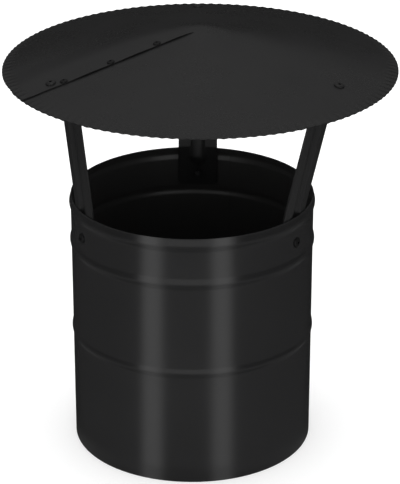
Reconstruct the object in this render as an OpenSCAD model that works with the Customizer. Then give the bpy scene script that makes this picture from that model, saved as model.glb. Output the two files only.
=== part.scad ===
// Chimney rain cap for a round stove or flue pipe, made of thin sheet steel and blind rivets.
// A shallow cone-shaped hat stands on three ribbed struts above a collar that plugs into the pipe.
// The origin is the centre of the collar's lower opening. +Z is up and the back strut is at +Y.

/* [Collar] */
// Outside diameter of the collar's plain wall
collar_d = 150; // [140:1:158]
// Height of the collar from its lower edge to its rim
collar_h = 163; // [150:1:200]
// Thickness of the collar's sheet
collar_t = 0.6; // [0.5:0.1:1]
// Height of the crest of the stop bead, which limits how deep the collar goes into the pipe
stop_bead_z = 74.5; // [60:0.5:90]
// How far the stop bead stands out
stop_bead_out = 0.75; // [0.5:0.05:1.5]
// Width of the stop bead along the wall
stop_bead_w = 7; // [5:0.5:9]
// Distance from the rim down to the crest of the neck bead
neck_bead_drop = 29.5; // [27:0.5:36]
// How far the neck bead stands out
neck_bead_out = 0.9; // [0.5:0.05:1.5]
// Width of the neck bead along the wall
neck_bead_w = 8; // [5:0.5:9]
// Distance from the rim down to the crest of the rim bead
rim_bead_drop = 4.6; // [4.6:0.1:6]
// How far the rim bead stands out
rim_bead_out = 0.95; // [0.5:0.05:1.5]
// Width of the rim bead along the wall
rim_bead_w = 8.8; // [6:0.2:9]

/* [Hat] */
// Outside diameter of the hat
hat_d = 238; // [236:0.5:280]
// Rise of the cone from its rim to its tip
hat_rise = 26; // [18:0.5:32]
// Thickness of the hat's sheet
hat_t = 0.6; // [0.5:0.1:1]
// Height of the centre of the hat's rim above the collar's rim
hat_gap = 81; // [70:0.5:110]
// How far the hat sits off the collar's axis, towards +X
hat_offset = 5; // [0:0.5:6]
// Tilt of the hat, with its back edge up
hat_tilt = 0.7; // [0:0.1:3]

/* [Crimped rim] */
// Number of flutes pressed into the hat's rim
flute_count = 130; // [100:2:150]
// Length of the flutes, measured in from the rim
flute_len = 8.5; // [6:0.5:10]
// Height from a flute's trough to its crest at the rim
flute_h = 0.4; // [0.3:0.1:1]

/* [Lap seam] */
// Turn of the seam from the direction of the left strut's rivet
seam_turn = 0.4; // [-0.5:0.1:0.8]
// Distance of the seam's open edge from the line through the hat's centre
seam_front = 6; // [5.5:0.1:6.5]
// Width of the lap at the rim, counted in flutes
lap_flutes = 3; // [3:1:4]
// Gap between the two layers of the lap
lap_gap = 0.15; // [0.12:0.01:0.25]
// Distance from the left strut's rivet in to the outermost seam rivet
seam_rivet_gap = 6.5; // [6.2:0.1:6.8]
// Distance from one seam rivet to the next
seam_rivet_pitch = 30.4; // [26:0.1:31]
// Distance of the seam rivets from the lap's open edge
seam_rivet_inset = 2.6; // [2.5:0.1:4]

/* [Struts] */
// Width of a strut
strut_w = 25; // [20:1:30]
// Thickness of a strut's sheet
strut_t = 1; // [0.8:0.1:1.5]
// How far the rivets that hold the hat stand out past the collar's wall, at the back, left and right
strut_splay = [22, 18.5, 24]; // [17:0.5:25]
// How far each of those rivets stands to the side of its strut's middle
hat_rivet_side = [1, 3, 4]; // [0:0.1:4]
// Length of the back strut's upper tab from its bend to the rivet
tab_in_back = 8; // [6:0.5:9]
// The same length on the left strut, whose tab also holds the outermost seam rivet
tab_in_left = 9.5; // [9.2:0.1:9.8]
// The same length on the right strut
tab_in_right = 4; // [3.5:0.5:9]
// Length of a strut's upper tab from the rivet to its end
tab_out = 7; // [6:0.5:8]
// Length of a strut's foot below its rivet
foot_tail = 8; // [6:0.5:9]
// Width of the stiffening rib
rib_w = 10; // [8:0.5:12]
// Height of the stiffening rib
rib_h = 1.8; // [1.2:0.1:2.2]
// Distance from the collar's rim down to the rib's rounded lower end
rib_drop = 5.5; // [4:0.5:6]
// Distance from the upper bend down to the rib's rounded upper end
rib_top_gap = 10; // [8:0.5:15]
// Radius of the struts' rounded corners
corner_r = 3; // [2:0.5:5]

/* [Rivets] */
// Diameter of the shank of a strut rivet
rivet_d = 3.2; // [3:0.1:3.4]
// Diameter of the shank of a seam rivet
seam_rivet_d = 2.4; // [2.2:0.1:2.6]
// Clearance between a shank and its hole, across the diameter
hole_clearance = 0.1; // [0.06:0.02:0.2]

/* [Hidden] */

// Sides of a circle, on big and on small round shapes
wall_sides = 180;
small_sides = 48;
$fn = small_sides;

// Colours of the paint on each kind of piece
hat_paint = "#2d2d2e";
collar_paint = "#262627";
strut_paint = "#232324";
rivet_paint = "#202021";
mandrel_steel = "#55565a";

// Places of the three struts and of the three seam rivets in the lists
back = 0;
left = 1;
right = 2;
inner = 0;
middle = 1;
outer = 2;

// Gap that the paint leaves between faces that are riveted together
paint_gap = 0.05;
// A cut runs this far past the face that it opens
through = 1;

// Collar: radii of the wall, heights of its beads and points on each bead's outline
collar_r = collar_d / 2;
collar_bore_r = collar_r - collar_t;
neck_bead_z = collar_h - neck_bead_drop;
rim_bead_z = collar_h - rim_bead_drop;
bead_steps = 12;

// Hat: the cone's slope, the sheet's upright thickness and the height of its rim
hat_r = hat_d / 2;
hat_slope = atan(hat_rise / hat_r);
hat_sheet_h = hat_t / cos(hat_slope);
hat_z = collar_h + hat_gap;
flute_r = hat_r - flute_len;
flute_angle = 360 / flute_count;

// Struts: the foot stands inside the collar, and the lean starts just above the collar's rim
strut_angles = [90, -150, -30];
tab_in = [tab_in_back, tab_in_left, tab_in_right];
tab_stack = strut_t + paint_gap;
foot_r = collar_bore_r - paint_gap;
foot_rivet_z = (neck_bead_z + rim_bead_z) / 2;
foot_end_z = foot_rivet_z - foot_tail;
bend_clearance = 0.3;
bend_z = collar_h + bend_clearance;
bend_r = 4;
bend_steps = 6;
strut_top_z = hat_z + hat_rise;
strut_sector = 25;

// Lap seam: a slit that starts near the tip, opens out and turns into the lap with its hidden edge
seam_angle = rivet_angle(left) + seam_turn;
lap_angle = lap_flutes * flute_angle;
lap_lift = hat_sheet_h + lap_gap;
seam_back = hat_r * sin(lap_angle - asin(seam_front / hat_r));
slit_start_r = 9;
slit_end_r = 13;
slit_w = 0.3;
lap_start_r = 22;
lap_flat_least = 8;
lap_margin = 1.5;
lap_ramp = 25;

// Rivets: shares of the shank's diameter, and the gap that the mandrel has inside the rivet
head_share = 1.94;
head_h_share = 0.4;
head_edge_share = 0.08;
bulb_share = 1.42;
bulb_len_share = 0.85;
bulb_round_share = 0.2;
bore_share = 0.58;
mandrel_head_share = 1.28;
mandrel_head_len_share = 0.4;
mandrel_gap = 0.03;
stem_tip = 0.3;
dome_steps = 8;

// A soft step from 0 to 1
function smooth(x) = x <= 0 ? 0 : x >= 1 ? 1 : x * x * (3 - 2 * x);

// How far one round bead stands out of the wall, at a distance from its crest
function bead(offset, out, width) =
    abs(offset) >= width / 2 ? 0 : out * (1 + cos(360 * offset / width)) / 2;

function collar_rise(z) =
    bead(z - stop_bead_z, stop_bead_out, stop_bead_w)
    + bead(z - neck_bead_z, neck_bead_out, neck_bead_w)
    + bead(z - rim_bead_z, rim_bead_out, rim_bead_w);

function bead_heights(crest, width) =
    [for (i = [0 : bead_steps]) crest + width * (i / bead_steps - 0.5)];

module collar() {
    heights = concat([0],
        bead_heights(stop_bead_z, stop_bead_w),
        bead_heights(neck_bead_z, neck_bead_w),
        bead_heights(rim_bead_z, rim_bead_w),
        [collar_h]);
    last = len(heights) - 1;
    outside = [for (z = heights) [collar_r + collar_rise(z), z]];
    inside = [for (i = [last : -1 : 0]) [collar_bore_r + collar_rise(heights[i]), heights[i]]];
    color(collar_paint)
    difference() {
        rotate_extrude($fn = wall_sides) polygon(concat(outside, inside));
        for (i = [back, left, right]) at_foot_rivet(i) rivet_hole(rivet_d);
    }
}

// Height of the hat's underside over its rim plane, at a distance from its centre
function cone_z(rho) = hat_rise * (1 - rho / hat_r);

// Puts its children in the hat's own frame, whose origin is the centre of the rim
module at_hat() {
    translate([hat_offset, 0, hat_z]) rotate([hat_tilt, 0, 0]) children();
}

// Puts its children on the hat's underside, with +Z square to the sheet
module on_cone(rho, angle) {
    rotate([0, 0, angle])
        translate([rho, 0, cone_z(rho)])
            rotate([0, hat_slope, 0]) children();
}

// The lap's open edge and its width, as angles about the hat's centre. The edges are straight
// lines up to the crimped rim, and run with the flutes from there.
function seam_reach(rho) = rho >= flute_r ? hat_r : rho;
function open_edge(rho) = seam_angle + asin(seam_front / seam_reach(rho));
function lap_width(rho) =
    rho <= slit_start_r ? 0
    : rho <= slit_end_r ? -slit_w / rho * 180 / PI
    : asin(seam_front / seam_reach(rho)) + asin(seam_back / seam_reach(rho));

// How far the upper layer is lifted off the cone, at an angle about the hat's centre
function lap_rise(rho, angle) =
    let (behind = (open_edge(rho) + 360 - angle) * PI / 180 * rho,
        flat = max(lap_width(rho) * PI / 180 * rho, lap_flat_least) + lap_margin)
    rho <= slit_start_r ? 0 : lap_lift * smooth(1 - (behind - flat) / lap_ramp);

// Height of the crimped rim over the plain cone: two points on each crest and two in each trough
function flute_rise(rho, step) =
    flute_h / 2 * smooth((rho - flute_r) / flute_len) * sin(90 * step + 45) * sqrt(2);

// The sheet's columns: one for each flute near the tip, and four for each flute in the crimped rim
plain_columns = flute_count + lap_flutes;
flute_steps = 4;
rim_columns = flute_steps * plain_columns;

// The sheet's rings: the plain ones are spaced by one ratio from the lap's start to the flutes
lap_rings = 3;
plain_rings = concat([slit_start_r, slit_end_r],
    [for (i = [0 : lap_rings]) lap_start_r * pow(flute_r / lap_start_r, i / lap_rings)]);
rim_rings = [flute_r + flute_len / 2, hat_r];
last_plain = len(plain_rings) - 1;
last_rim = len(rim_rings) - 1;

function column_angle(rho, share) =
    open_edge(rho) - lap_width(rho) + (360 + lap_width(rho)) * share;

function sheet_point(rho, angle, rise, side) =
    [rho * cos(angle), rho * sin(angle),
        cone_z(rho) + rise + lap_rise(rho, angle) + side * hat_sheet_h];

// The first ring closes on itself, so it has one point less than the others
function plain_points(side) =
    [for (i = [0 : last_plain])
        for (k = [0 : plain_columns - (i == 0 ? 1 : 0)])
            sheet_point(plain_rings[i], column_angle(plain_rings[i], k / plain_columns), 0, side)];

function rim_points(side) =
    [for (rho = rim_rings)
        for (k = [0 : rim_columns])
            sheet_point(rho, column_angle(rho, k / rim_columns), flute_rise(rho, k), side)];

// Numbers of the points on the lower side. The upper side's follow after one whole side.
plain_count = len(plain_rings) * (plain_columns + 1) - 1;
side_count = plain_count + len(rim_rings) * (rim_columns + 1);

function plain_at(ring, k) =
    ring == 0 ? k % plain_columns : ring * (plain_columns + 1) - 1 + k;
function rim_at(ring, k) = plain_count + ring * (rim_columns + 1) + k;

// One side of the sheet as triangles, counter-clockwise seen from above
side_faces = concat(
    [for (i = [0 : last_plain - 1]) for (k = [0 : plain_columns - 1]) each [
        [plain_at(i, k), plain_at(i + 1, k), plain_at(i + 1, k + 1)],
        [plain_at(i, k), plain_at(i + 1, k + 1), plain_at(i, k + 1)]]],
    [for (k = [0 : plain_columns - 1])
        let (a = plain_at(last_plain, k), b = plain_at(last_plain, k + 1), f = rim_at(0, flute_steps * k))
        each [[a, f, f + 1], [a, f + 1, f + 2], [a, f + 2, b], [b, f + 2, f + 3], [b, f + 3, f + 4]]],
    [for (i = [0 : last_rim - 1]) for (k = [0 : rim_columns - 1]) each [
        [rim_at(i, k), rim_at(i + 1, k), rim_at(i + 1, k + 1)],
        [rim_at(i, k), rim_at(i + 1, k + 1), rim_at(i, k + 1)]]]);

// The sheet's edges: strips from the lower to the upper side, along a row of points
function strip(a, b) = [[b, a, b + side_count], [b + side_count, a, a + side_count]];
function strips(row) = [for (i = [0 : len(row) - 2]) each strip(row[i], row[i + 1])];
function turned(row) = [for (i = [len(row) - 1 : -1 : 0]) row[i]];
function cut_row(k, rim_k) = concat(
    [for (i = [0 : last_plain]) plain_at(i, k)],
    [for (i = [0 : last_rim]) rim_at(i, rim_k)]);

// The hat's sheet: a spiral cone, one thickness tall all over, whose last turn lies on its first
module hat_sheet() {
    tip_z = cone_z(slit_start_r / 2);
    tip_low = 2 * side_count;
    tip_high = tip_low + 1;
    points = concat(plain_points(0), rim_points(0), plain_points(1), rim_points(1),
        [[0, 0, tip_z], [0, 0, tip_z + hat_sheet_h]]);
    faces = concat(
        side_faces,
        [for (f = side_faces) [f[2], f[1], f[0]] + side_count * [1, 1, 1]],
        [for (k = [0 : plain_columns - 1]) [tip_low, plain_at(0, k), plain_at(0, k + 1)]],
        [for (k = [0 : plain_columns - 1])
            [tip_high, plain_at(0, k + 1) + side_count, plain_at(0, k) + side_count]],
        strips([for (k = [0 : rim_columns]) rim_at(last_rim, k)]),
        strips(cut_row(0, 0)),
        strips(turned(cut_row(plain_columns, rim_columns))));
    polyhedron(points, faces, convexity = 6);
}

module hat() {
    color(hat_paint)
    at_hat() difference() {
        hat_sheet();
        for (i = [back, left, right]) at_hat_rivet(i) rivet_hole(rivet_d);
        for (i = [inner, middle, outer]) at_seam_rivet(i) rivet_hole(seam_rivet_d);
    }
}

// Where each strut's upper rivet stands on the hat, as distance and direction from the hat's centre
function strut_reach(i) = collar_r + strut_splay[i];
function rivet_xy(i) =
    let (c = cos(strut_angles[i]), s = sin(strut_angles[i]))
    [strut_reach(i) * c - hat_rivet_side[i] * s - hat_offset,
        (strut_reach(i) * s + hat_rivet_side[i] * c) / cos(hat_tilt)];
function rivet_rho(i) = norm(rivet_xy(i));
function rivet_angle(i) = atan2(rivet_xy(i)[1], rivet_xy(i)[0]);

// Where a seam rivet stands: on a line beside the lap's open edge, counted in from the left strut
function seam_rivet_x(i) =
    rivet_rho(left) * cos(seam_turn) - seam_rivet_gap - (outer - i) * seam_rivet_pitch;
function seam_rivet_y() = seam_front - seam_rivet_inset;
function seam_rivet_rho(i) = norm([seam_rivet_x(i), seam_rivet_y()]);
function seam_rivet_angle(i) = seam_angle + atan2(seam_rivet_y(), seam_rivet_x(i));

// These put their children on the face that the rivet's blind end sits on. The outermost seam
// rivet also goes through the left strut's tab.
module at_hat_rivet(i) {
    on_cone(rivet_rho(i), rivet_angle(i)) translate([0, 0, -tab_stack]) children();
}
module at_seam_rivet(i) {
    on_cone(seam_rivet_rho(i), seam_rivet_angle(i))
        translate([0, 0, i == outer ? -tab_stack : 0]) children();
}
module foot_rivet_axis() {
    translate([foot_r - strut_t, 0, foot_rivet_z]) rotate([0, 90, 0]) children();
}
module at_foot_rivet(i) {
    rotate([0, 0, strut_angles[i]]) foot_rivet_axis() children();
}

// Where a strut's upper bend meets the hat's underside, and how far the strut leans out
function bend_top_r(i) = strut_reach(i) - tab_in[i];
function bend_top_z(i) =
    let (x = bend_top_r(i) * cos(strut_angles[i]) - hat_offset, y = bend_top_r(i) * sin(strut_angles[i]))
    hat_z + y * tan(hat_tilt) + cone_z(norm([x, y]));
function lean(i) = atan((bend_top_r(i) - foot_r) / (bend_top_z(i) - bend_z));

// The strut's outer face seen from the side: an upright foot, a rounded bend and a straight lean
function strut_back_line(i) =
    let (a = lean(i), centre = [foot_r + bend_r, bend_z], top = strut_top_z - bend_z)
    concat(
        [[foot_r, foot_end_z - through]],
        [for (k = [0 : bend_steps]) centre + bend_r * [-cos(a * k / bend_steps), sin(a * k / bend_steps)]],
        [[foot_r + top * tan(a), strut_top_z]]);

// The whole strip seen from the side, with its inner face one thickness away
function strut_side(i) =
    let (a = lean(i), centre = [foot_r + bend_r, bend_z], top = strut_top_z - bend_z)
    concat(
        strut_back_line(i),
        [[foot_r + top * tan(a) - strut_t / cos(a), strut_top_z]],
        [for (k = [bend_steps : -1 : 0])
            centre + (bend_r + strut_t) * [-cos(a * k / bend_steps), sin(a * k / bend_steps)]],
        [[foot_r - strut_t, foot_end_z - through]]);

// A flat bar with two rounded corners at its near end, from x = 0 to length
module rounded_bar(length, width, r) {
    translate([r, -width / 2]) square([length - r, width]);
    translate([0, r - width / 2]) square([length, width - 2 * r]);
    for (side = [-1, 1]) translate([r, side * (width / 2 - r)]) circle(r);
}

// A shape turned about the Z axis, of which only the part around +X is made
module sector(half_angle) {
    rotate([0, 0, -half_angle]) rotate_extrude(angle = 2 * half_angle, $fn = wall_sides) children();
}

// The strut's outline seen from the chimney's axis, with the foot's rounded end down
module strut_front() {
    translate([0, 0, foot_end_z])
        rotate([0, -90, 180])
            linear_extrude(collar_d) rounded_bar(strut_top_z + through, strut_w, corner_r);
}

// Puts its children in the hat's frame, turned so that +X points over the strut
module hat_over_strut(i) {
    rotate([0, 0, -strut_angles[i]]) at_hat() rotate([0, 0, rivet_angle(i)]) children();
}

// A cone shell over the strut, between two depths below the hat's underside
module under_hat(i, depth_low, depth_high) {
    near_r = hat_r / 2;
    hat_over_strut(i) sector(strut_sector)
        polygon([[near_r, cone_z(near_r) - depth_high], [hat_r, -depth_high],
            [hat_r, -depth_low], [near_r, cone_z(near_r) - depth_low]]);
}

// The tab under the hat: a strip of sheet that follows the hat's underside
module strut_tab(i) {
    reach = tab_in[i] + tab_out + strut_t / 2;
    intersection() {
        under_hat(i, paint_gap + strut_t / cos(hat_slope), paint_gap);
        translate([strut_reach(i) + tab_out, 0, bend_z]) mirror([1, 0, 0])
            linear_extrude(strut_top_z - bend_z) rounded_bar(reach, strut_w, corner_r);
    }
}

// The rib's round bar, whose crown stands out of the strut's inner face
module rib_bar(i, radius, crown_r) {
    a = lean(i);
    length = (bend_top_z(i) - bend_z) / cos(a) - rib_top_gap;
    translate([foot_r, 0, bend_z])
        rotate([0, a, 0])
            translate([crown_r - strut_t, 0, 0]) {
                translate([0, 0, -rib_drop]) cylinder(h = length + rib_drop, r = radius);
                translate([0, 0, -rib_drop]) sphere(radius);
                translate([0, 0, length]) sphere(radius);
            }
}

// The plain strip of the foot and the lean, grown inwards by the rib where it has one
module ribbed_strip(i, rib_r) {
    axis_side_r = foot_r / 2;
    intersection() {
        sector(strut_sector) polygon(strut_side(i));
        strut_front();
    }
    intersection() {
        rib_bar(i, rib_r, rib_r - rib_h);
        sector(strut_sector) polygon(concat(strut_back_line(i),
            [[axis_side_r, strut_top_z], [axis_side_r, foot_end_z - through]]));
    }
}

// A strut, shaped with +X pointing out from the collar's axis and then turned to its place
module strut(i) {
    rib_r = (pow(rib_w / 2, 2) + pow(rib_h, 2)) / (2 * rib_h);
    color(strut_paint)
    rotate([0, 0, strut_angles[i]])
    difference() {
        union() {
            ribbed_strip(i, rib_r);
            strut_tab(i);
        }
        rib_bar(i, rib_r - strut_t, rib_r - rib_h);
        under_hat(i, paint_gap, -2 * hat_rise);
        foot_rivet_axis() rivet_hole(rivet_d);
        rotate([0, 0, -strut_angles[i]]) at_hat() {
            at_hat_rivet(i) rivet_hole(rivet_d);
            if (i == left) at_seam_rivet(outer) rivet_hole(seam_rivet_d);
        }
    }
}

// The hole for a rivet, through whatever stack it holds
module rivet_hole(d) {
    translate([0, 0, -through]) cylinder(h = foot_grip + lap_grip + 2 * through, d = d + hole_clearance);
}

// A set blind rivet: a domed head with the mandrel's hole in it, a shank and a bulb on the blind side
module blind_rivet(d, grip) {
    shank_r = d / 2;
    head_r = shank_r * head_share;
    bore_r = shank_r * bore_share;
    bulb_r = shank_r * bulb_share;
    bulb_len = d * bulb_len_share;
    bulb_round = d * bulb_round_share;
    seat = grip + paint_gap;
    edge = seat + d * head_edge_share;
    dome_h = d * (head_h_share - head_edge_share);
    dome = [for (k = [0 : dome_steps]) let (a = 90 * k / dome_steps)
        [bore_r + (head_r - bore_r) * cos(a), edge + dome_h * sin(a)]];
    color(rivet_paint)
    rotate_extrude() polygon(concat(
        [[bore_r, -bulb_len], [bulb_r - bulb_round, -bulb_len], [bulb_r, bulb_round - bulb_len],
            [bulb_r, -bulb_round - paint_gap], [shank_r, -paint_gap], [shank_r, seat], [head_r, seat]],
        dome));
}

// What stays of the mandrel inside a set rivet: its head under the bulb and the snapped stem
module mandrel(d, grip) {
    stem_r = d / 2 * bore_share - mandrel_gap;
    head_r = d / 2 * mandrel_head_share;
    head_top = -d * bulb_len_share - mandrel_gap;
    head_end = head_top - d * mandrel_head_len_share;
    head_round = d * bulb_round_share;
    color(mandrel_steel)
    rotate_extrude() polygon([
        [0, head_end], [head_r - head_round, head_end], [head_r, head_end + head_round],
        [head_r, head_top], [stem_r, head_top], [stem_r, grip], [0, grip + stem_tip]]);
}

// Thickness of the stack that each kind of rivet holds
lap_grip = hat_t + lap_lift * cos(hat_slope);
foot_grip = tab_stack + collar_t;
function hat_grip(i) = tab_stack + (i == left ? lap_grip : hat_t);
function seam_grip(i) = i == outer ? tab_stack + lap_grip : lap_grip;

module foot_rivet(i) at_foot_rivet(i) blind_rivet(rivet_d, foot_grip);
module foot_mandrel(i) at_foot_rivet(i) mandrel(rivet_d, foot_grip);
module hat_rivet(i) at_hat() at_hat_rivet(i) blind_rivet(rivet_d, hat_grip(i));
module hat_mandrel(i) at_hat() at_hat_rivet(i) mandrel(rivet_d, hat_grip(i));
module seam_rivet(i) at_hat() at_seam_rivet(i) blind_rivet(seam_rivet_d, seam_grip(i));
module seam_mandrel(i) at_hat() at_seam_rivet(i) mandrel(seam_rivet_d, seam_grip(i));

collar();
strut(back);  // strut_back
strut(left);  // strut_left
strut(right);  // strut_right
hat();
foot_rivet(back);  // foot_rivet_back
foot_rivet(left);  // foot_rivet_left
foot_rivet(right);  // foot_rivet_right
hat_rivet(back);  // hat_rivet_back
hat_rivet(left);  // hat_rivet_left
hat_rivet(right);  // hat_rivet_right
seam_rivet(inner);  // seam_rivet_inner
seam_rivet(middle);  // seam_rivet_middle
seam_rivet(outer);  // seam_rivet_outer
foot_mandrel(back);  // foot_mandrel_back
foot_mandrel(left);  // foot_mandrel_left
foot_mandrel(right);  // foot_mandrel_right
hat_mandrel(back);  // hat_mandrel_back
hat_mandrel(left);  // hat_mandrel_left
hat_mandrel(right);  // hat_mandrel_right
seam_mandrel(inner);  // seam_mandrel_inner
seam_mandrel(middle);  // seam_mandrel_middle
seam_mandrel(outer);  // seam_mandrel_outer
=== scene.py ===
"""Looks of a chimney rain cap: a crimped, riveted sheet hat on three ribbed struts over a beaded collar."""
import math

import bmesh
import bpy
from mathutils import Matrix, Vector


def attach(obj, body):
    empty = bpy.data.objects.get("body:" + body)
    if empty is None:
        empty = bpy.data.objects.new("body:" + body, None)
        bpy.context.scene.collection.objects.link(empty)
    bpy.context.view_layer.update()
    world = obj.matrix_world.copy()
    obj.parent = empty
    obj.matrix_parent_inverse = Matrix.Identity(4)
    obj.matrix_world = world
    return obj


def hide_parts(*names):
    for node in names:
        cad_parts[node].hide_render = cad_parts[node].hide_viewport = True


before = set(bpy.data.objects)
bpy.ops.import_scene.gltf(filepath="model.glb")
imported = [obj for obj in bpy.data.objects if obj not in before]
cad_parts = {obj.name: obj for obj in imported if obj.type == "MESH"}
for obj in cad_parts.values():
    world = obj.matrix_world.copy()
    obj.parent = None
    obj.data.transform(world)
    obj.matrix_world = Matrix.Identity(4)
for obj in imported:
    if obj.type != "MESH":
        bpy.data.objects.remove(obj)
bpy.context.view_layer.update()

scene = bpy.context.scene
MM = 0.001

# Collar: a tube of 0.6 mm sheet steel that plugs into the flue pipe. The blank is rolled round and
# welded flush at the back, then three beads are rolled outwards: one stops the pipe, one stiffens the
# neck and one the rim. Satin black heat-resistant paint, inside and out.
COLLAR_R = 75 * MM
COLLAR_H = 163 * MM
COLLAR_SHEET = 0.6 * MM
BEADS = {"Stop bead": (74.5 * MM, 0.75 * MM, 7 * MM),
         "Neck bead": (133.5 * MM, 0.9 * MM, 8 * MM),
         "Rim bead": (158.4 * MM, 0.95 * MM, 8.8 * MM)}
BEAD_STEPS = 16
PLAIN_STEP = 12 * MM
COLLAR_SIDES = 360
WELD_TURN = math.radians(74)
WELD_W = 1.6 * MM
WELD_H = 0.06 * MM
WELD_COLUMNS = 4
EDGE_ROUND = 0.15 * MM
EDGE_STEPS = 2
CUT_EDGE_ANGLE = math.radians(60)
FOOT_RIVET_Z = (BEADS["Neck bead"][0] + BEADS["Rim bead"][0]) / 2
STRUT_TURNS = {"back": math.radians(90), "left": math.radians(-150), "right": math.radians(-30)}
RIVET_D = 3.2 * MM
HOLE_CLEARANCE = 0.1 * MM
HOLE_SIDES = 48
DRILL_REACH = 3 * MM
CREASE = math.radians(38)
MERGE = 0.0005 * MM


class Field:
    """A value that changes over a surface. A sum written with it lays out Math nodes in its tree."""

    def __init__(self, tree, socket):
        self.tree, self.socket = tree, socket

    def math(self, operation, *others):
        node = place(self.tree, "ShaderNodeMath", dict(enumerate((self, *others))), operation=operation)
        return Field(self.tree, node.outputs[0])

    def __add__(self, other):
        return self.math("ADD", other)

    def __sub__(self, other):
        return self.math("SUBTRACT", other)

    def __rsub__(self, other):
        return (self * -1) + other

    def __mul__(self, other):
        return self.math("MULTIPLY", other)

    def __truediv__(self, other):
        return self.math("DIVIDE", other)

    __radd__, __rmul__ = __add__, __mul__

    def between(self, low, high):
        return self.math("MAXIMUM", low).math("MINIMUM", high)

    def soft_step(self):
        share = self.between(0, 1)
        return share * share * (3 - 2 * share)

    def rise(self, start, run):
        """0 up to the start, then a smooth rise to 1 over the run."""
        return ((self - start) / run).soft_step()

    def hump(self):
        """1 at the middle of a width of 1, falling along a cosine to 0 at both ends."""
        return ((self.between(-0.5, 0.5) * math.tau).math("COSINE") + 1) / 2


def place(tree, kind, plugs=None, **settings):
    """Places one node in a tree, sets it up and plugs values, fields or sockets into it."""
    node = tree.nodes.new(kind)
    for name, value in settings.items():
        setattr(node, name, value)
    for name, value in (plugs or {}).items():
        value = value.socket if isinstance(value, Field) else value
        if isinstance(value, bpy.types.NodeSocket):
            tree.links.new(value, node.inputs[name])
        elif value is not None:
            node.inputs[name].default_value = value
    return node


def new_tree(name, kind, takes, gives):
    """A node tree with named inputs and outputs. Each input has a socket type and a starting value."""
    tree = bpy.data.node_groups.new(name, kind)
    for label, (socket_type, start) in takes.items():
        socket = tree.interface.new_socket(label, in_out="INPUT", socket_type=socket_type)
        if start is not None:
            socket.default_value = start
    for label, socket_type in gives.items():
        tree.interface.new_socket(label, in_out="OUTPUT", socket_type=socket_type)
    entry = tree.nodes.new("NodeGroupInput")
    return tree, {label: Field(tree, entry.outputs[label]) for label in takes}


def lengths(values):
    """Number inputs of a tree, with their starting values."""
    return {label: ("NodeSocketFloat", value) for label, value in values.items()}


def close_tree(tree, **results):
    """Plugs the results into the tree's outputs."""
    place(tree, "NodeGroupOutput", results)


def in_scene(name, data):
    """A new object in the scene."""
    thing = bpy.data.objects.new(name, data)
    scene.collection.objects.link(thing)
    return thing


def shaped(name, blank, tree, values):
    """An object whose blank is formed by a tree. The values go in by their sockets' identifiers."""
    formed = in_scene(name, blank)
    modifier = formed.modifiers.new(tree.name, "NODES")
    modifier.node_group = tree
    for item in tree.interface.items_tree:
        if item.in_out == "INPUT" and item.name in values:
            modifier[item.identifier] = values[item.name]
    return formed


def made_mesh(formed):
    """What a form's modifiers make of it, as a plain mesh. The form itself goes."""
    depsgraph = bpy.context.evaluated_depsgraph_get()
    mesh = bpy.data.meshes.new_from_object(formed.evaluated_get(depsgraph), depsgraph=depsgraph)
    bpy.data.objects.remove(formed)
    return mesh


def as_finished(mesh, name, nodes):
    """A finished mesh as a piece of the object, smooth but for its creases, that stands for CAD nodes."""
    mesh.name = name
    mesh.shade_smooth()
    mesh.set_sharp_from_angle(angle=CREASE)
    piece = in_scene(name, mesh)
    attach(piece, "root")
    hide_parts(*nodes)
    return piece


def blank_sheet(name, rows, columns):
    """A flat blank. Its points keep their row value as X and their column value as Y."""
    wide = len(columns)
    points = [(row, column, 0) for row in rows for column in columns]
    faces = [(i * wide + k, i * wide + k + 1, (i + 1) * wide + k + 1, (i + 1) * wide + k)
             for i in range(len(rows) - 1) for k in range(wide - 1)]
    mesh = bpy.data.meshes.new(name)
    mesh.from_pydata(points, [], faces)
    return mesh


def spread(start, end, count):
    """Evenly spaced values from start to end, both included."""
    return [start + (end - start) * i / count for i in range(count + 1)]


# Paint film, shared by every painted piece: the fine orange peel of a sprayed coat, slow clouds of
# shade, and a few dust specks under the film.
FILM = {"Peel size": 1.6 * MM, "Peel depth": 0.0025 * MM, "Cloud size": 45 * MM, "Speck size": 0.5 * MM}
CLOUD_SHADE, PEEL_SHADE = 1.2, 0.3
CLOUD_GLOSS, PEEL_GLOSS = 0.10, 0.06
SPECK_FROM, SPECK_STEEPNESS, SPECK_DEPTHS = 0.70, 12, 3
film_tree, film = new_tree(
    "sprayed_film", "ShaderNodeTree",
    {"Place": ("NodeSocketVector", None), **lengths(FILM)},
    {"Shade": "NodeSocketFloat", "Gloss change": "NodeSocketFloat", "Height": "NodeSocketFloat"})


def noise(tree, vector, size, detail, roughness=0.5):
    """Soft noise whose patches are about one size across."""
    scale = 1 / size if not isinstance(size, Field) else size.math("POWER", -1)
    node = place(tree, "ShaderNodeTexNoise",
                 {"Vector": vector, "Scale": scale, "Detail": detail, "Roughness": roughness})
    return Field(tree, node.outputs["Fac"])


peel = noise(film_tree, film["Place"], film["Peel size"], detail=2)
cloud = noise(film_tree, film["Place"], film["Cloud size"], detail=3)
speck = (noise(film_tree, film["Place"], film["Speck size"], detail=1) - SPECK_FROM) * SPECK_STEEPNESS
close_tree(film_tree,
           **{"Shade": (cloud - 0.5) * CLOUD_SHADE + (peel - 0.5) * PEEL_SHADE + 0.5,
              "Gloss change": (cloud - 0.5) * CLOUD_GLOSS + (peel - 0.5) * PEEL_GLOSS,
              "Height": peel * film["Peel depth"] + speck.between(0, 1) * film["Peel depth"] * SPECK_DEPTHS})


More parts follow.
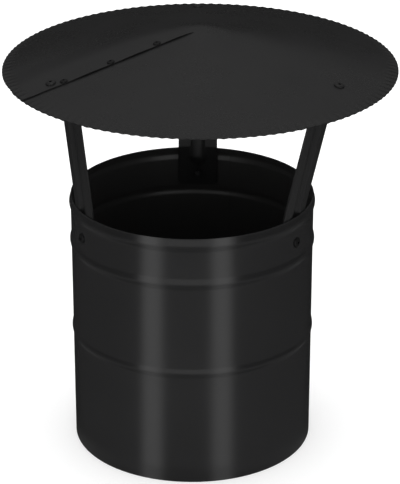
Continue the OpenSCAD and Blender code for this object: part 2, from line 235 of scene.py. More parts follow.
# Settled dust, shared by the painted pieces: a thin grey bloom on what faces up, thicker in patches.
# It is greyer than the paint and takes some of its gloss.
DUST_PATCH = 18 * MM
DUST_TONE = (0.16, 0.155, 0.148, 1)
DUST_ROUGHENS = 0.3
dust_tree, dust = new_tree(
    "settled_dust", "ShaderNodeTree",
    {"Place": ("NodeSocketVector", None), **lengths({"Patch size": DUST_PATCH, "Amount": 0.1})},
    {"Mask": "NodeSocketFloat"})
facing_up = Field(dust_tree, place(dust_tree, "ShaderNodeSeparateXYZ", {
    0: place(dust_tree, "ShaderNodeNewGeometry").outputs["Normal"]}).outputs["Z"])
patches = noise(dust_tree, dust["Place"], dust["Patch size"], detail=4, roughness=0.6)
close_tree(dust_tree, Mask=facing_up.between(0, 1) * patches.between(0, 1) * dust["Amount"])


# Satin black heat-resistant paint, sprayed on each piece. Where a sheet faces the collar's axis the
# spray lands drier, which makes it rougher there, and greyer: partly from the dry spray and partly as
# painted light that brightens the collar's inside.
SHADE_SPREAD = 0.12
DRY_GREY_AND_PAINTED_LIGHT = 0.4


def bare_material(name):
    """A new material and its empty tree."""
    material = bpy.data.materials.new(name)
    material.use_nodes = True
    material.node_tree.nodes.clear()
    return material, material.node_tree


def blended(tree, share, first, second):
    """A colour between two others. A Mix node's colours are its inputs 6 and 7 and its output 2."""
    return place(tree, "ShaderNodeMix", {"Factor": share, 6: first, 7: second}, data_type="RGBA").outputs[2]


def satin_paint(name, tone, roughness, dust_amount=0.02, dry_inside=0, shine=0.5):
    """A piece's own coat, from its mid tone. dry_inside is what dry spray adds to the roughness; it also
    sets a grey inside that is partly painted light.
    """
    material, tree = bare_material(name)
    where = place(tree, "ShaderNodeTexCoord").outputs["Object"]
    coat = place(tree, "ShaderNodeGroup", {"Place": where, **FILM}, node_tree=film_tree)
    bloom = place(tree, "ShaderNodeGroup", {"Place": where, "Amount": dust_amount}, node_tree=dust_tree)
    darker, lighter = ((*(channel * (1 + side * SHADE_SPREAD) for channel in tone), 1) for side in (-1, 1))
    shade = blended(tree, coat.outputs["Shade"], darker, lighter)
    from_axis = place(tree, "ShaderNodeVectorMath", {0: where, 1: (1, 1, 0)}, operation="MULTIPLY")
    facing = place(tree, "ShaderNodeNewGeometry").outputs["True Normal"]
    outward = place(tree, "ShaderNodeVectorMath", {0: from_axis.outputs[0], 1: facing},
                    operation="DOT_PRODUCT").outputs["Value"]
    dry = Field(tree, outward).math("LESS_THAN", 0) * dry_inside
    dust_mask, gloss_change = Field(tree, bloom.outputs["Mask"]), Field(tree, coat.outputs["Gloss change"])
    # The colour goes towards the dust tone where dust lies, and on the inside towards a grey that is partly
    # painted light.
    colour = blended(tree, dust_mask + dry * DRY_GREY_AND_PAINTED_LIGHT, shade, DUST_TONE)
    rough = gloss_change + dust_mask * DUST_ROUGHENS + dry + roughness
    relief = place(tree, "ShaderNodeBump", {"Strength": 1, "Distance": 1, "Height": coat.outputs["Height"]})
    surface = place(tree, "ShaderNodeBsdfPrincipled",
                    {"Base Color": colour, "Roughness": rough.between(0, 1),
                     "Normal": relief.outputs["Normal"], "Specular IOR Level": shine})
    place(tree, "ShaderNodeOutputMaterial", {"Surface": surface.outputs["BSDF"]})
    return material


# The collar's own coat and form: its blank is rolled round, pushed out at the beads and the weld, given
# its thickness and drilled for the feet.
collar_paint = satin_paint("collar_satin_black", (0.0100, 0.0100, 0.0103), roughness=0.20, dry_inside=0.15)

bead_tree, bead = new_tree(
    "rolled_bead", "GeometryNodeTree",
    lengths({"Along": 0, "Crest": 0, "Out": 1 * MM, "Width": 8 * MM}),
    {"Rise": "NodeSocketFloat"})
close_tree(bead_tree, Rise=((bead["Along"] - bead["Crest"]) / bead["Width"]).hump() * bead["Out"])

collar_values = {"Radius": COLLAR_R, "Weld turn": WELD_TURN, "Weld height": WELD_H, "Weld width": WELD_W}
for bead_name, sizes in BEADS.items():
    collar_values.update(zip((f"{bead_name} {part}" for part in ("height", "out", "width")), sizes))
collar_tree, ins = new_tree(
    "rolled_collar", "GeometryNodeTree",
    {"Geometry": ("NodeSocketGeometry", None), **lengths(collar_values),
     "Paint": ("NodeSocketMaterial", None)},
    {"Geometry": "NodeSocketGeometry"})


def blank_place(tree):
    """The row and the column value that a blank's points carry."""
    split = place(tree, "ShaderNodeSeparateXYZ", {0: place(tree, "GeometryNodeInputPosition").outputs[0]})
    return Field(tree, split.outputs["X"]), Field(tree, split.outputs["Y"])


def polar(tree, reach, turn, height):
    """The point at a distance and a direction from the Z axis, at a height."""
    return place(tree, "ShaderNodeCombineXYZ", {
        "X": reach * turn.math("COSINE"), "Y": reach * turn.math("SINE"), "Z": height}).outputs[0]


def merged(tree, geometry):
    """The geometry with the points merged that lie in one place."""
    return place(tree, "GeometryNodeMergeByDistance", {"Geometry": geometry, "Distance": MERGE}).outputs[0]


def close_form(tree, geometry, finish):
    """Ends a form's tree in real geometry with its finish on."""
    whole = place(tree, "GeometryNodeRealizeInstances", {"Geometry": geometry})
    coated = place(tree, "GeometryNodeSetMaterial", {"Geometry": whole.outputs[0], "Material": finish})
    close_tree(tree, Geometry=coated.outputs[0])


height, round_share = blank_place(collar_tree)
reach = ins["Radius"]
for bead_name in BEADS:
    roll = place(collar_tree, "GeometryNodeGroup", {
        "Along": height, "Crest": ins[f"{bead_name} height"], "Out": ins[f"{bead_name} out"],
        "Width": ins[f"{bead_name} width"]}, node_tree=bead_tree)
    reach = reach + Field(collar_tree, roll.outputs["Rise"])
from_weld = round_share.math("MINIMUM", 1 - round_share) * math.tau * ins["Radius"]
reach = reach + (from_weld / ins["Weld width"]).hump() * ins["Weld height"]
rolled = place(collar_tree, "GeometryNodeSetPosition", {
    "Geometry": ins["Geometry"],
    "Position": polar(collar_tree, reach, round_share * math.tau + ins["Weld turn"], height)})
close_form(collar_tree, merged(collar_tree, rolled.outputs[0]), ins["Paint"])

collar_rows, reached = [0], 0
for crest, _, width in BEADS.values():
    plain_steps = max(1, round((crest - width / 2 - reached) / PLAIN_STEP))
    collar_rows += spread(reached, crest - width / 2, plain_steps)[1:]
    collar_rows += spread(crest - width / 2, crest + width / 2, BEAD_STEPS)[1:]
    reached = crest + width / 2
collar_rows.append(COLLAR_H)
weld_share = WELD_W / 2 / (math.tau * COLLAR_R)
collar_columns = (spread(0, weld_share, WELD_COLUMNS)[:-1] + spread(weld_share, 1 - weld_share, COLLAR_SIDES)
                  + spread(1 - weld_share, 1, WELD_COLUMNS)[1:])
collar_form = shaped("collar_form", blank_sheet("collar_blank", collar_rows, collar_columns), collar_tree,
                     {**collar_values, "Paint": collar_paint})
sheet = collar_form.modifiers.new("sheet", "SOLIDIFY")
sheet.thickness, sheet.offset, sheet.use_even_offset = COLLAR_SHEET, -1, True
rounding = collar_form.modifiers.new("cut edges", "BEVEL")
rounding.width, rounding.segments, rounding.limit_method = EDGE_ROUND, EDGE_STEPS, "ANGLE"
rounding.angle_limit = CUT_EDGE_ANGLE


def mesh_of(name, shape):
    """A finished bmesh as a mesh."""
    mesh = bpy.data.meshes.new(name)
    shape.to_mesh(mesh)
    shape.free()
    return mesh


def hole_bars(name, places, radius):
    """Round bars for cutting holes, one along the Z axis of each place."""
    shape = bmesh.new()
    for matrix in places:
        bmesh.ops.create_cone(shape, cap_ends=True, segments=HOLE_SIDES, radius1=radius, radius2=radius,
                              depth=2 * DRILL_REACH, matrix=matrix)
    return in_scene(name, mesh_of(name, shape))


def foot_places(reach):
    """The foot rivets' places at a distance from the collar's axis, each with Z outwards."""
    return [Matrix.Rotation(turn, 4, "Z") @ Matrix.Translation((reach, 0, FOOT_RIVET_Z))
            @ Matrix.Rotation(math.radians(90), 4, "Y") for turn in STRUT_TURNS.values()]


foot_bars = hole_bars("foot_bars", foot_places(COLLAR_R - COLLAR_SHEET), (RIVET_D + HOLE_CLEARANCE) / 2)
drilled = collar_form.modifiers.new("drilled for the feet", "BOOLEAN")
drilled.operation, drilled.solver, drilled.object = "DIFFERENCE", "EXACT", foot_bars
as_finished(made_mesh(collar_form), "collar_tube", ["collar"])
bpy.data.objects.remove(foot_bars)

# Struts: three strips of 1 mm sheet steel, 25 mm wide. Each has a foot inside the collar, leans
# outwards above the rim with a pressed stiffening rib, and ends in a tab under the hat.
# The struts share the collar's paint, but their tone is darker: painted shade.
strut_paint = satin_paint("strut_satin_black", (0.0082, 0.0082, 0.0085), roughness=0.30)
for side in STRUT_TURNS:
    shape = bmesh.new()
    shape.from_mesh(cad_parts[f"strut_{side}"].data)
    bmesh.ops.remove_doubles(shape, verts=shape.verts, dist=MERGE)
    mesh = mesh_of(f"strut_{side}_mesh", shape)
    mesh.materials.clear()
    mesh.materials.append(strut_paint)
    strut = as_finished(mesh, f"strut_{side}_strip", [f"strut_{side}"])
    strut.modifiers.new("flat stretches stay flat", "WEIGHTED_NORMAL").keep_sharp = True

# Hat: one round blank of 0.6 mm sheet, cut from its edge to its tip, rolled into a shallow cone with
# its edges lapped, and crimped into fine flutes round the rim. It sits a little off the collar's axis
# and tips forward.
HAT_R = 119 * MM
HAT_RISE = 26 * MM
HAT_SHEET = 0.6 * MM
HAT_Z = COLLAR_H + 81 * MM
HAT_OFFSET = 5 * MM
HAT_TILT = math.radians(0.7)
HAT_SLOPE = math.atan(HAT_RISE / HAT_R)
UPRIGHT_SHEET = HAT_SHEET / math.cos(HAT_SLOPE)
FLUTES = 130
FLUTE_LEN = 8.5 * MM
FLUTE_H = 0.4 * MM
FLUTE_R = HAT_R - FLUTE_LEN
FLUTE_STEPS = 10
LAP_FLUTES = 3
SEAM_FRONT = 6 * MM
SEAM_RIVET_D = 2.4 * MM
STRUT_SPLAY = {"back": 22 * MM, "left": 18.5 * MM, "right": 24 * MM}
RIVET_ASIDE = {"back": 1 * MM, "left": 3 * MM, "right": 4 * MM}


def hat_rivet_spot(side):
    """Distance and direction of a strut's upper rivet from the hat's centre."""
    reach, aside, turn = COLLAR_R + STRUT_SPLAY[side], RIVET_ASIDE[side], STRUT_TURNS[side]
    x = reach * math.cos(turn) - aside * math.sin(turn) - HAT_OFFSET
    y = (reach * math.sin(turn) + aside * math.cos(turn)) / math.cos(HAT_TILT)
    return math.hypot(x, y), math.atan2(y, x)


# The seam, from the tip outwards: the cut's edges meet, part by a narrow slit, then lap in straight lines
# that turn radial towards the flutes. The turn on top lies one sheet higher over the lap and a margin,
# and slopes down to the cone behind it. Its open edge springs up a little between the rivets.
SEAM_SWING = math.radians(0.4)
SEAM_TURN = hat_rivet_spot("left")[1] + SEAM_SWING
SEAM_RIVET_INSET = 2.6 * MM
SEAM_RIVET_PITCH = 30.4 * MM
SEAM_RIVET_GAP = 6.5 * MM
OUTER_RIVET_X = hat_rivet_spot("left")[0] * math.cos(SEAM_SWING) - SEAM_RIVET_GAP
SLIT_START = 9 * MM
SLIT_END = 13 * MM
SLIT_W = 0.3 * MM
LAP_START = 22 * MM
LAP_TURN = LAP_FLUTES * math.tau / FLUTES
LAP_BACK = HAT_R * math.sin(LAP_TURN - math.asin(SEAM_FRONT / HAT_R))
LAP_GAP = 0.15 * MM
LAP_LIFT = UPRIGHT_SHEET + LAP_GAP
LAP_FLAT = 8 * MM
LAP_MARGIN = 1.5 * MM
LAP_RAMP = 25 * MM
SPRING_H = 0.35 * MM
SPRING_REACH = 14 * MM
SPRING_END = 4 * MM
STRAIGHT_END = 20 * MM
hat_values = {
    "Radius": HAT_R, "Rise": HAT_RISE, "Sheet": UPRIGHT_SHEET,
    "Flute start": FLUTE_R, "Flute height": FLUTE_H, "Flute count": FLUTES + LAP_FLUTES,
    "Seam turn": SEAM_TURN, "Seam front": SEAM_FRONT, "Seam back": LAP_BACK, "Straight end": STRAIGHT_END,
    "Slit start": SLIT_START, "Slit end": SLIT_END, "Slit width": SLIT_W,
    "Lap start": LAP_START, "Lap lift": LAP_LIFT, "Lap flat": LAP_FLAT, "Lap margin": LAP_MARGIN,
    "Lap ramp": LAP_RAMP, "Spring": SPRING_H, "Spring reach": SPRING_REACH, "Spring end": SPRING_END,
    "Outer rivet": OUTER_RIVET_X, "Rivet pitch": SEAM_RIVET_PITCH}
hat_tree, ins = new_tree(
    "rolled_hat", "GeometryNodeTree",
    {"Geometry": ("NodeSocketGeometry", None), **lengths(hat_values),
     "Paint": ("NodeSocketMaterial", None)},
    {"Geometry": "NodeSocketGeometry"})
rho, round_share = blank_place(hat_tree)
slit_start, slit_end, flute_start = ins["Slit start"], ins["Slit end"], ins["Flute start"]
edge_rho = rho.math("MAXIMUM", slit_start)
at_rim = ((rho - flute_start) / ins["Straight end"] + 1).soft_step()
seam_reach = edge_rho + at_rim * (ins["Radius"] - edge_rho)
front_turn = (ins["Seam front"] / seam_reach).math("ARCSINE")
back_turn = (ins["Seam back"] / seam_reach).math("ARCSINE")
lapped = rho.rise(slit_end, ins["Lap start"] - slit_end)
slit_open = ((rho - slit_start) / (slit_end - slit_start)).between(0, 1)
lap_turn = lapped * (front_turn + back_turn) - (1 - lapped) * slit_open * ins["Slit width"] / edge_rho
turn = ins["Seam turn"] + front_turn - lap_turn + (lap_turn + math.tau) * round_share
behind = (lap_turn + math.tau) * (1 - round_share) * rho
flat = (lap_turn * rho).math("MAXIMUM", ins["Lap flat"]) + ins["Lap margin"]
lifted = rho.rise(slit_start, slit_end - slit_start)
over_lap = lifted * (1 - (behind - flat) / ins["Lap ramp"]).soft_step() * ins["Lap lift"]
flute_wave = (round_share * ins["Flute count"] * math.tau + math.pi / 4).math("SINE")
flute = rho.rise(flute_start, ins["Radius"] - flute_start) * ins["Flute height"] / 2 * flute_wave
from_rivet = ((rho - ins["Outer rivet"]) / ins["Rivet pitch"] * math.pi).math("SINE")
inside_rivets = ((ins["Outer rivet"] - rho) / ins["Spring end"]).soft_step() * lapped
near_edge = (1 - behind / ins["Spring reach"]).soft_step()
spring = from_rivet * from_rivet * inside_rivets * near_edge * ins["Spring"]
near_tip = rho.math("MINIMUM", slit_start)
blunt_rho = rho - near_tip + near_tip * near_tip / slit_start / 2 + slit_start / 2
hat_height = ins["Rise"] * (1 - blunt_rho / ins["Radius"]) + flute + over_lap + spring
formed = place(hat_tree, "GeometryNodeSetPosition",
               {"Geometry": ins["Geometry"], "Position": polar(hat_tree, rho, turn, hat_height)})
cone = merged(hat_tree, formed.outputs[0])
up = place(hat_tree, "ShaderNodeCombineXYZ", {"Z": ins["Sheet"]})
upper = place(hat_tree, "GeometryNodeExtrudeMesh",
              {"Mesh": cone, "Offset": up.outputs[0], "Individual": False})
lower = place(hat_tree, "GeometryNodeFlipFaces", {"Mesh": cone})
both = place(hat_tree, "GeometryNodeJoinGeometry")
for side_mesh in (upper, lower):
    hat_tree.links.new(side_mesh.outputs[0], both.inputs[0])
seated = place(hat_tree, "GeometryNodeTransform", {
    "Geometry": merged(hat_tree, both.outputs[0]), "Translation": (HAT_OFFSET, 0, HAT_Z),
    "Rotation": (HAT_TILT, 0, 0)})
close_form(hat_tree, seated.outputs[0], ins["Paint"])

# The hat shares the collar's paint, but its tone is darker: painted shade.
hat_paint = satin_paint("hat_satin_black", (0.0064, 0.0064, 0.0066), roughness=0.28)
hat_rows, reached = [0], 0
for stretch_end, steps in ((SLIT_START, 3), (SLIT_END, 2), (LAP_START, 4), (FLUTE_R, 12), (HAT_R, 5)):
    hat_rows += spread(reached, stretch_end, steps)[1:]
    reached = stretch_end
hat_columns = spread(0, 1, (FLUTES + LAP_FLUTES) * FLUTE_STEPS)
hat_form = shaped("hat_form", blank_sheet("hat_blank", hat_rows, hat_columns), hat_tree,
                  {**hat_values, "Paint": hat_paint})
as_finished(made_mesh(hat_form), "hat_sheet", ["hat"])

# Rivets: blind rivets, put in from outside and pulled tight, so that each has a low domed head with
# the mandrel's hole in its middle, and a bulb on the blind side. Steel, painted over with the cap.
HEAD_SHARE, BULB_SHARE, BORE_SHARE, MANDREL_SHARE = 1.94, 1.42, 0.58, 1.28
BULB_LEN, BULB_CORNER, HEAD_EDGE, HEAD_DOME, MANDREL_LEN = 0.85, 0.2, 0.08, 0.32, 0.4
BULB_STEPS, DOME_STEPS = 5, 10
RIVET_SIDES = 48
STEM_OUT = 0.3 * MM
MANDREL_GAP = 0.03 * MM
STRUT_SHEET = 1 * MM
PAINT_GAP = 0.05 * MM
HAT_FRAME = Matrix.Translation((HAT_OFFSET, 0, HAT_Z)) @ Matrix.Rotation(HAT_TILT, 4, "X")
TAB_STACK = STRUT_SHEET + PAINT_GAP
LAP_GRIP = HAT_SHEET + LAP_LIFT * math.cos(HAT_SLOPE)
# The rivets were painted with the cap, but their tones are darker than the hat's and the collar's, darkest
# on the foot and seam rivets: painted shade on their small heads.
hat_rivet_paint = satin_paint("hat_rivet_satin_black", (0.0055, 0.0055, 0.0056), roughness=0.40, shine=0.4)
rivet_paint = satin_paint("rivet_flat_black_painted_shade", (0.0045, 0.0045, 0.0046), roughness=0.42, dust_amount=0.01,
                          shine=0.22)


def on_hat(rho, turn, sunk):
    """A place on the hat's underside with Z square to the sheet, sunk below it."""
    underside = HAT_RISE * (1 - rho / HAT_R)
    return (HAT_FRAME @ Matrix.Rotation(turn, 4, "Z") @ Matrix.Translation((rho, 0, underside))
            @ Matrix.Rotation(HAT_SLOPE, 4, "Y") @ Matrix.Translation((0, 0, -sunk)))


def seam_spot(step):
    """Distance and direction of a seam rivet from the hat's centre, counted in from the outermost."""
    x, y = OUTER_RIVET_X - step * SEAM_RIVET_PITCH, SEAM_FRONT - SEAM_RIVET_INSET
    return math.hypot(x, y), SEAM_TURN + math.atan2(y, x)


def rivet_outline(d, grip):
    """Half the outline of a set blind rivet, from its bore round the bulb to the head."""
    shank, seat, quarter = d / 2, grip + PAINT_GAP, math.radians(90)
    bore, head, bulb = shank * BORE_SHARE, shank * HEAD_SHARE, shank * BULB_SHARE
    length, corner, edge, dome = d * BULB_LEN, d * BULB_CORNER, seat + d * HEAD_EDGE, d * HEAD_DOME
    return ([(bore, -length)]
            + [(bulb - corner + corner * math.sin(a), -length + corner - corner * math.cos(a))
               for a in spread(0, quarter, BULB_STEPS)]
            + [(bulb, -corner - PAINT_GAP), (shank, -PAINT_GAP), (shank, seat), (head, seat)]
            + [(bore + (head - bore) * math.cos(a), edge + dome * math.sin(a))
               for a in spread(0, quarter, DOME_STEPS)])


def mandrel_outline(d, grip):
    """Half the outline of what stays of the mandrel: its head under the bulb and the snapped stem."""
    stem, head, corner = d / 2 * BORE_SHARE - MANDREL_GAP, d / 2 * MANDREL_SHARE, d * BULB_CORNER
    top = -d * BULB_LEN - MANDREL_GAP
    end = top - d * MANDREL_LEN
    return [(0, end), (head - corner, end), (head, end + corner), (head, top), (stem, top), (stem, grip),
            (0, grip + STEM_OUT)]


def turned_part(name, outline):
    """A mesh turned about Z from half an outline, which is closed if it stays clear of Z."""
    shape = bmesh.new()
    ring = [shape.verts.new((r, 0, z)) for r, z in outline]
    edges = [shape.edges.new(pair) for pair in zip(ring, ring[1:])]
    if min(r for r, z in outline) > 0:
        edges.append(shape.edges.new((ring[-1], ring[0])))
    bmesh.ops.spin(shape, geom=ring + edges, angle=math.tau, steps=RIVET_SIDES, axis=(0, 0, 1),
                   cent=(0, 0, 0), use_merge=True)
    bmesh.ops.remove_doubles(shape, verts=shape.verts, dist=MERGE)
    bmesh.ops.recalc_face_normals(shape, faces=shape.faces)
    return mesh_of(name, shape)


rivet_tree, ins = new_tree(
    "set_parts", "GeometryNodeTree",
    {"Geometry": ("NodeSocketGeometry", None), "Part": ("NodeSocketObject", None),
     "Finish": ("NodeSocketMaterial", None)},
    {"Geometry": "NodeSocketGeometry"})
part = place(rivet_tree, "GeometryNodeObjectInfo", {"Object": ins["Part"], "As Instance": True})
across = place(rivet_tree, "GeometryNodeInputNamedAttribute", {"Name": "turning"}, data_type="FLOAT_VECTOR")
turning = place(rivet_tree, "FunctionNodeEulerToRotation", {"Euler": across.outputs["Attribute"]})
stood = place(rivet_tree, "GeometryNodeInstanceOnPoints", {
    "Points": ins["Geometry"], "Instance": part.outputs["Geometry"], "Rotation": turning.outputs[0]})
close_form(rivet_tree, stood.outputs[0], ins["Finish"])


def set_parts(name, outlines, places, nodes, finish):
    """Like parts at several places, each turned from its own outline. Each is a piece of its own."""
    for outline, matrix, node in zip(outlines, places, nodes):
        pattern = in_scene(f"{name}_pattern", turned_part(f"{node}_pattern", outline))
        spot = bpy.data.meshes.new(f"{name}_spot")
        spot.from_pydata([matrix.translation], [], [])
        spot.attributes.new("turning", "FLOAT_VECTOR", "POINT").data[0].vector = matrix.to_euler()
        formed = shaped(f"{name}_form", spot, rivet_tree, {"Part": pattern, "Finish": finish})
        as_finished(made_mesh(formed), f"{node}_set", [node])
        bpy.data.objects.remove(pattern)


STEEL_TONES = (0.02, 0.02, 0.021, 1), (0.09, 0.09, 0.092, 1)
STEEL_GRAIN = 0.25 * MM
STEEL_RELIEF = 0.01
STEEL_ROUGHNESS, GRAIN_ROUGHENS = 0.3, 0.3
steel, tree = bare_material("snapped_steel")
grain = noise(tree, place(tree, "ShaderNodeTexCoord").outputs["Object"], STEEL_GRAIN, detail=3)
relief = place(tree, "ShaderNodeBump", {"Distance": 1, "Height": grain * STEEL_RELIEF * MM})
surface = place(tree, "ShaderNodeBsdfPrincipled", {
    "Base Color": blended(tree, grain, *STEEL_TONES), "Metallic": 1.0,
    "Roughness": grain * GRAIN_ROUGHENS + STEEL_ROUGHNESS, "Normal": relief.outputs["Normal"]})
place(tree, "ShaderNodeOutputMaterial", {"Surface": surface.outputs["BSDF"]})

foot_grip = TAB_STACK + COLLAR_SHEET
foot_axes = foot_places(COLLAR_R - COLLAR_SHEET - PAINT_GAP - STRUT_SHEET)
hat_axes = [on_hat(*hat_rivet_spot(side), TAB_STACK) for side in STRUT_TURNS]
hat_grips = [TAB_STACK + (LAP_GRIP if side == "left" else HAT_SHEET) for side in STRUT_TURNS]
seam_names = {"outer": 0, "middle": 1, "inner": 2}
seam_axes = [on_hat(*seam_spot(step), TAB_STACK if step == 0 else 0) for step in seam_names.values()]
seam_grips = [LAP_GRIP + (TAB_STACK if step == 0 else 0) for step in seam_names.values()]
for group, d, grips, axes, sides, paint in (
        ("foot", RIVET_D, [foot_grip] * 3, foot_axes, STRUT_TURNS, rivet_paint),
        ("hat", RIVET_D, hat_grips, hat_axes, STRUT_TURNS, hat_rivet_paint),
        ("seam", SEAM_RIVET_D, seam_grips, seam_axes, seam_names, rivet_paint)):
    set_parts(f"{group}_rivets", [rivet_outline(d, grip) for grip in grips], axes,
              [f"{group}_rivet_{side}" for side in sides], paint)
    set_parts(f"{group}_mandrels", [mandrel_outline(d, grip) for grip in grips], axes,
              [f"{group}_mandrel_{side}" for side in sides], steel)

# Floor: a plain pale studio floor that is white where it lies open and takes the cap's soft shadow. A
# reflection doesn't see it, and it is clear from below, so that the cap's underside can be looked at.
FLOOR_R = 12
FLOOR_SIDES = 96
FLOOR_TONE = (0.8, 0.8, 0.8, 1)
FLOOR_GLOW = 0.30
WHITE = (1, 1, 1, 1)


def looked_at(tree):
    """1 where the camera looks, straight or by glass or gloss, and 0 where surfaces gather their light."""
    path = place(tree, "ShaderNodeLightPath")
    straight = Field(tree, path.outputs["Is Camera Ray"])
    or_through_glass = straight.math("MAXIMUM", path.outputs["Is Transmission Ray"])
    return or_through_glass.math("MAXIMUM", path.outputs["Is Glossy Ray"])


bpy.ops.mesh.primitive_circle_add(vertices=FLOOR_SIDES, radius=FLOOR_R, fill_type="NGON")
floor = bpy.context.object
floor.name = "floor"
pale, tree = bare_material("pale_floor")
paper = place(tree, "ShaderNodeBsdfDiffuse", {"Color": FLOOR_TONE})
glow = place(tree, "ShaderNodeEmission", {"Color": WHITE, "Strength": FLOOR_GLOW})
lit = place(tree, "ShaderNodeAddShader", {0: paper.outputs[0], 1: glow.outputs[0]})
mix = place(tree, "ShaderNodeMixShader", {0: looked_at(tree), 1: paper.outputs[0], 2: lit.outputs[0]})
from_camera = Field(tree, place(tree, "ShaderNodeLightPath").outputs["Is Camera Ray"])
under = from_camera * place(tree, "ShaderNodeNewGeometry").outputs["Backfacing"]
clear = place(tree, "ShaderNodeBsdfTransparent")
seen = place(tree, "ShaderNodeMixShader", {0: under, 1: mix.outputs[0], 2: clear.outputs[0]})
place(tree, "ShaderNodeOutputMaterial", {"Surface": seen.outputs[0]})
floor.data.materials.append(pale)
floor.visible_glossy = False

# Studio: a bright ceiling over the pale floor gives plain soft light from all round. Only the paint's
# reflections see the rest: dark walls that pale low in front and high at the back, a dark disc of painted
# shade inside the collar that stands for the floor in the collar's shadow, two tall soft boxes that draw
# its bright bands, and a dimmer card between them.
CEILING_LIGHT = 1.5
SIDE_LIGHT = 1.0
CEILING_FROM = math.sin(math.radians(33))
CEILING_FULL = math.sin(math.radians(45))
world = bpy.data.worlds.new("studio")
scene.world = world
world.use_nodes = True
tree = world.node_tree
tree.nodes.clear()
upward = Field(tree, place(tree, "ShaderNodeSeparateXYZ", {
    0: place(tree, "ShaderNodeTexCoord").outputs["Generated"]}).outputs["Z"])
ceiling = upward.rise(CEILING_FROM, CEILING_FULL - CEILING_FROM) * (CEILING_LIGHT - SIDE_LIGHT)
room = place(tree, "ShaderNodeBackground", {"Color": WHITE, "Strength": ceiling + SIDE_LIGHT})
white = place(tree, "ShaderNodeBackground", {"Color": WHITE, "Strength": 1.0})
mix = place(tree, "ShaderNodeMixShader", {0: looked_at(tree), 1: room.outputs[0], 2: white.outputs[0]})
place(tree, "ShaderNodeOutputWorld", {"Surface": mix.outputs[0]})


def only_mirrored(thing):
    """Stage gear that shows only in reflections."""
    thing.visible_camera = thing.visible_diffuse = thing.visible_transmission = thing.visible_shadow = False


def glowing(name):
    """A material that glows, and the place on it, for the glow to change over."""
    material, tree = bare_material(name)
    material.cycles.emission_sampling = "NONE"
    split = place(tree, "ShaderNodeSeparateXYZ", {
        0: place(tree, "ShaderNodeNewGeometry").outputs["Position"]})
    return material, *(Field(tree, split.outputs[axis]) for axis in "XYZ")


def set_glow(material, strength, cover=1):
    """Sets how strongly a glowing material glows, and how far it covers what is behind it."""
    tree = material.node_tree
    light = place(tree, "ShaderNodeEmission", {"Color": WHITE, "Strength": strength})
    clear = place(tree, "ShaderNodeBsdfTransparent")
    mix = place(tree, "ShaderNodeMixShader", {0: cover, 1: clear.outputs[0], 2: light.outputs[0]})
    place(tree, "ShaderNodeOutputMaterial", {"Surface": mix.outputs[0]})


# The walls, open at the top. Each step in their light says where it starts, how far it runs up, or down
# if that is negative, and what it adds.
WALL_R = 3.0
WALL_TOP = WALL_R * math.tan(math.radians(75))
WALL_LOW = -6.0
FACES_UP = 0.9
STAGE_SIDES = 64
DARK = 0.008
FRONT_LEAN = 0.05
FRONT_LEVEL = 0.10
FRONT_STEPS = (-3.5, 1.2, 0.17), (-1.8, 0.9, -0.06), (-0.7, 0.6, -0.15), (0.8, 1, -0.06)
BACK_STEPS = (1.05, 0.65, 0.13), (2.4, 1.2, 0.11), (-1.55, -0.5, 0.06)
bpy.ops.mesh.primitive_cylinder_add(
    vertices=STAGE_SIDES, radius=WALL_R, depth=WALL_TOP - WALL_LOW, end_fill_type="NGON",
    location=(0, 0, (WALL_TOP + WALL_LOW) / 2))
walls = bpy.context.object
walls.name = "dark_walls"
shape = bmesh.new()
shape.from_mesh(walls.data)
lid = [face for face in shape.faces if face.normal.z > FACES_UP]
bmesh.ops.delete(shape, geom=lid, context="FACES_ONLY")
shape.to_mesh(walls.data)
shape.free()
wall_glow, aside, back, up = glowing("wall")
front_share = (1 - back / WALL_R + aside / WALL_R * FRONT_LEAN) / 2
front_light, back_light = (sum(up.rise(start, run) * change for start, run, change in steps)
                           for steps in (FRONT_STEPS, BACK_STEPS))
set_glow(wall_glow, front_share * (front_light + FRONT_LEVEL) + (1 - front_share) * back_light + DARK)
walls.data.materials.append(wall_glow)
only_mirrored(walls)

# Painted shade: a dark disc on the floor inside the collar, seen only in reflections, that stands for the
# floor in the collar's shadow.
GROUND_CLEAR = 1 * MM
bpy.ops.mesh.primitive_circle_add(
    vertices=STAGE_SIDES, radius=COLLAR_R - COLLAR_SHEET - GROUND_CLEAR, fill_type="NGON",
    location=(0, 0, GROUND_CLEAR))
ground = bpy.context.object
ground.name = "dark_ground_in_collar"
ground_glow = glowing("ground")[0]
set_glow(ground_glow, DARK)
ground.data.materials.append(ground_glow)
only_mirrored(ground)

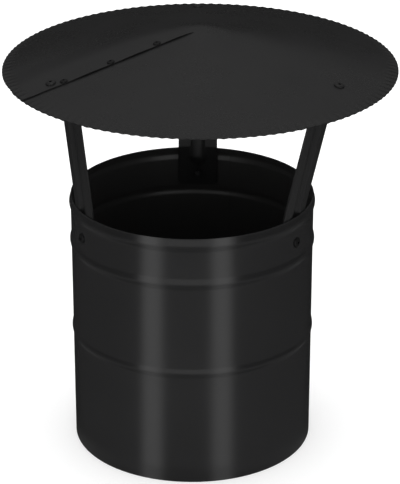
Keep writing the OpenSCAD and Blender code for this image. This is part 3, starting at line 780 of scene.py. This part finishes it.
# The soft boxes and the card are sheets bent round the cap. Each says how far off it is, from which angle
# to which it goes, how wide its soft edges are, and its light low, at eye level and high. They fan out
# below.
CAMERA_TURN = math.radians(2.92)
BOX_LIGHT, CARD_LIGHT = (0.78, 1.16, 1.42), (0.17, 0.28, 0.58)
PANELS = {"soft_box_left": (1.2, -50.8, -22.4, 10, BOX_LIGHT),
          "soft_box_right": (1.2, 12.8, 40.5, 10, BOX_LIGHT),
          "card_between": (1.3, -29, 21, 8, CARD_LIGHT)}
PANEL_ROWS = spread(-2.6, 1.2, 38)
PANEL_COLUMNS = 24
FAN_FROM, FAN_GROWTH, FAN_POWER = -0.35, 0.27, 1.3
BELOW_EYE, ABOVE_EYE = (-0.5, -0.4), (-0.36, 0.4)
for name, (away, left, right, soft_edge, (low, middle, high)) in PANELS.items():
    sheet = blank_sheet(name, PANEL_ROWS, spread(left, right, PANEL_COLUMNS))
    covers = sheet.attributes.new("cover", "FLOAT", "POINT").data
    for point, cover in zip(sheet.vertices, covers):
        level, angle = point.co.x, point.co.y
        share = min(1, (angle - left) / soft_edge, (right - angle) / soft_edge)
        cover.value = share * share * (3 - 2 * share)
        fan = 1 + FAN_GROWTH * max(0, FAN_FROM - level) ** FAN_POWER
        towards = CAMERA_TURN + math.radians(angle) * fan
        point.co = (away * math.sin(towards), -away * math.cos(towards), level)
    panel = in_scene(name, sheet)
    panel_glow, *_, up = glowing(f"{name}_glow")
    light = up.rise(*BELOW_EYE) * (low - middle) + up.rise(*ABOVE_EYE) * (high - middle) + middle
    set_glow(panel_glow, light,
             place(panel_glow.node_tree, "ShaderNodeAttribute", attribute_name="cover").outputs["Fac"])
    panel.data.materials.append(panel_glow)
    only_mirrored(panel)

# Camera, where the photograph was taken from: in front, a little to the right and looking down on the hat
CAMERA_PLACE = Vector((0.06356, -1.24519, 0.67558))
CAMERA_AIM = Vector((0.00485, 0, 0.12857))
LENS_MM, SENSOR_MM = 162.5, 36
NEAREST = 0.01
camera_data = bpy.data.cameras.new("camera")
camera_data.lens, camera_data.sensor_width, camera_data.clip_start = LENS_MM, SENSOR_MM, NEAREST
camera = in_scene("camera", camera_data)
camera.location = CAMERA_PLACE
aim = CAMERA_AIM - CAMERA_PLACE
camera.rotation_euler = aim.to_track_quat("-Z", "Y").to_euler()
scene.camera = camera
scene.view_settings.view_transform = "Standard"
